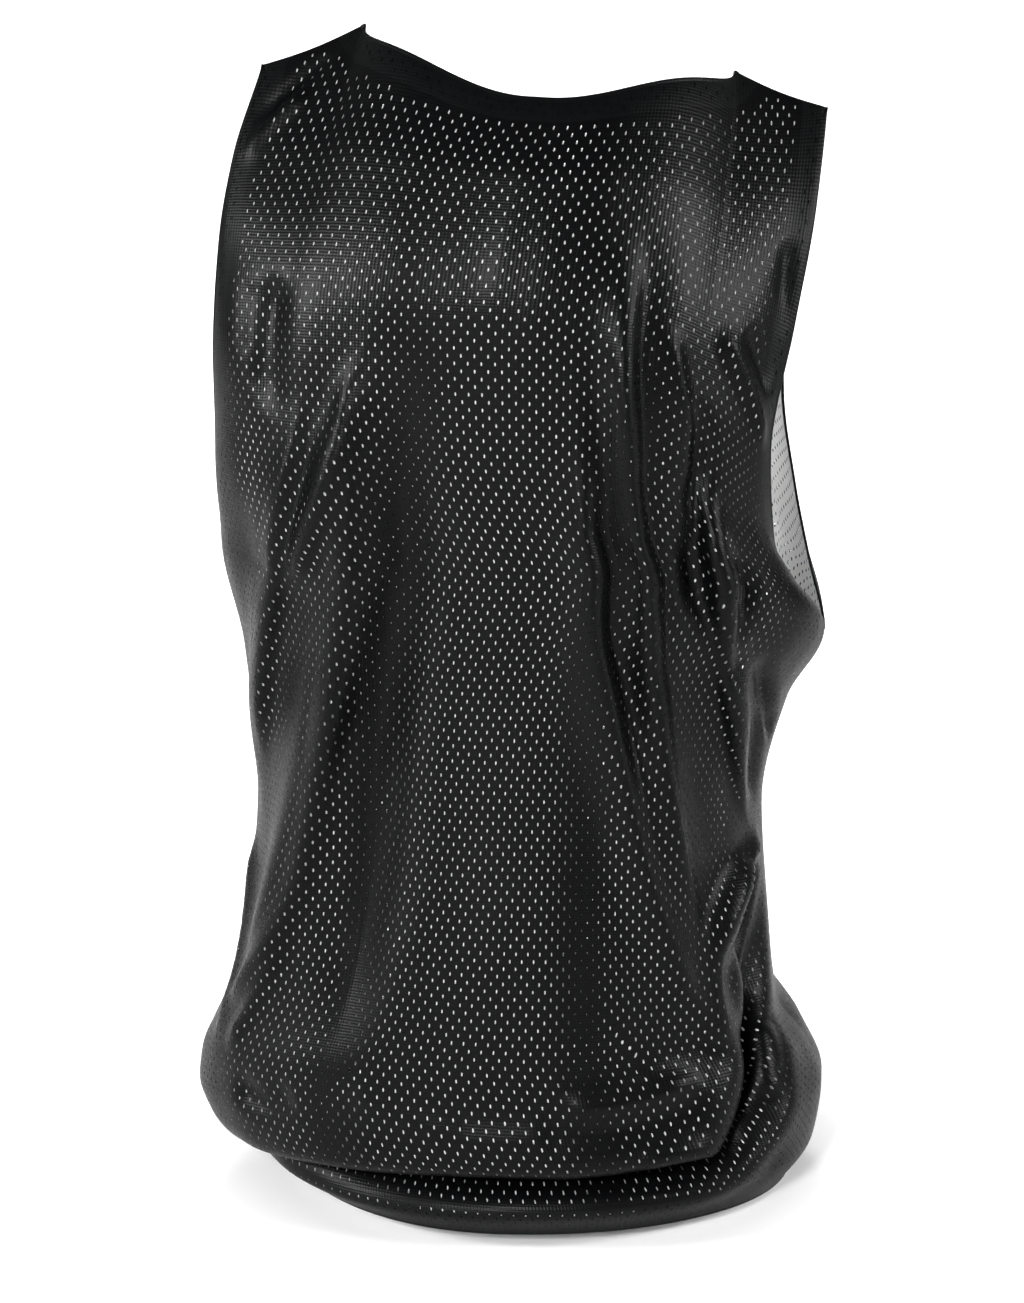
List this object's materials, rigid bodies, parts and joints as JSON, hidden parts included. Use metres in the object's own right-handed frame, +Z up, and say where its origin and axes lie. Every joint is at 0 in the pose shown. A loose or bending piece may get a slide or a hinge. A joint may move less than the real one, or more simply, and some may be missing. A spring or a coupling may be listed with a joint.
{
  "type": "basketball jersey",
  "caption": "sleeveless reversible mesh basketball jersey, black outside and white inside, held open in the form it has when worn, with surplus length bunched above the hem",
  "frame": {"origin": "the middle of the shoulders, halfway between the neck ends of the two shoulder seams, where the wearer holds the jersey up", "axes": "+Z up, the wearer's front faces -Y, the wearer's left is +X"},
  "size_m": [0.3991, 0.3209, 0.7174],
  "materials": {
    "back_outer": "satin",
    "front_outer": "satin",
    "back_inner": "satin",
    "front_inner": "satin",
    "neck_band": "satin",
    "armhole_band_left": "satin",
    "armhole_band_right": "satin",
    "hem_band_back": "satin",
    "hem_band_front": "satin"
  },
  "bodies": {
    "root": {"back_outer": "back_outer", "front_outer": "front_outer", "back_inner": "back_inner", "front_inner": "front_inner", "neck_band": "neck_band", "armhole_band_left": "armhole_band_left", "armhole_band_right": "armhole_band_right", "hem_band_back": "hem_band_back", "hem_band_front": "hem_band_front"}
  },
  "joints": []
}
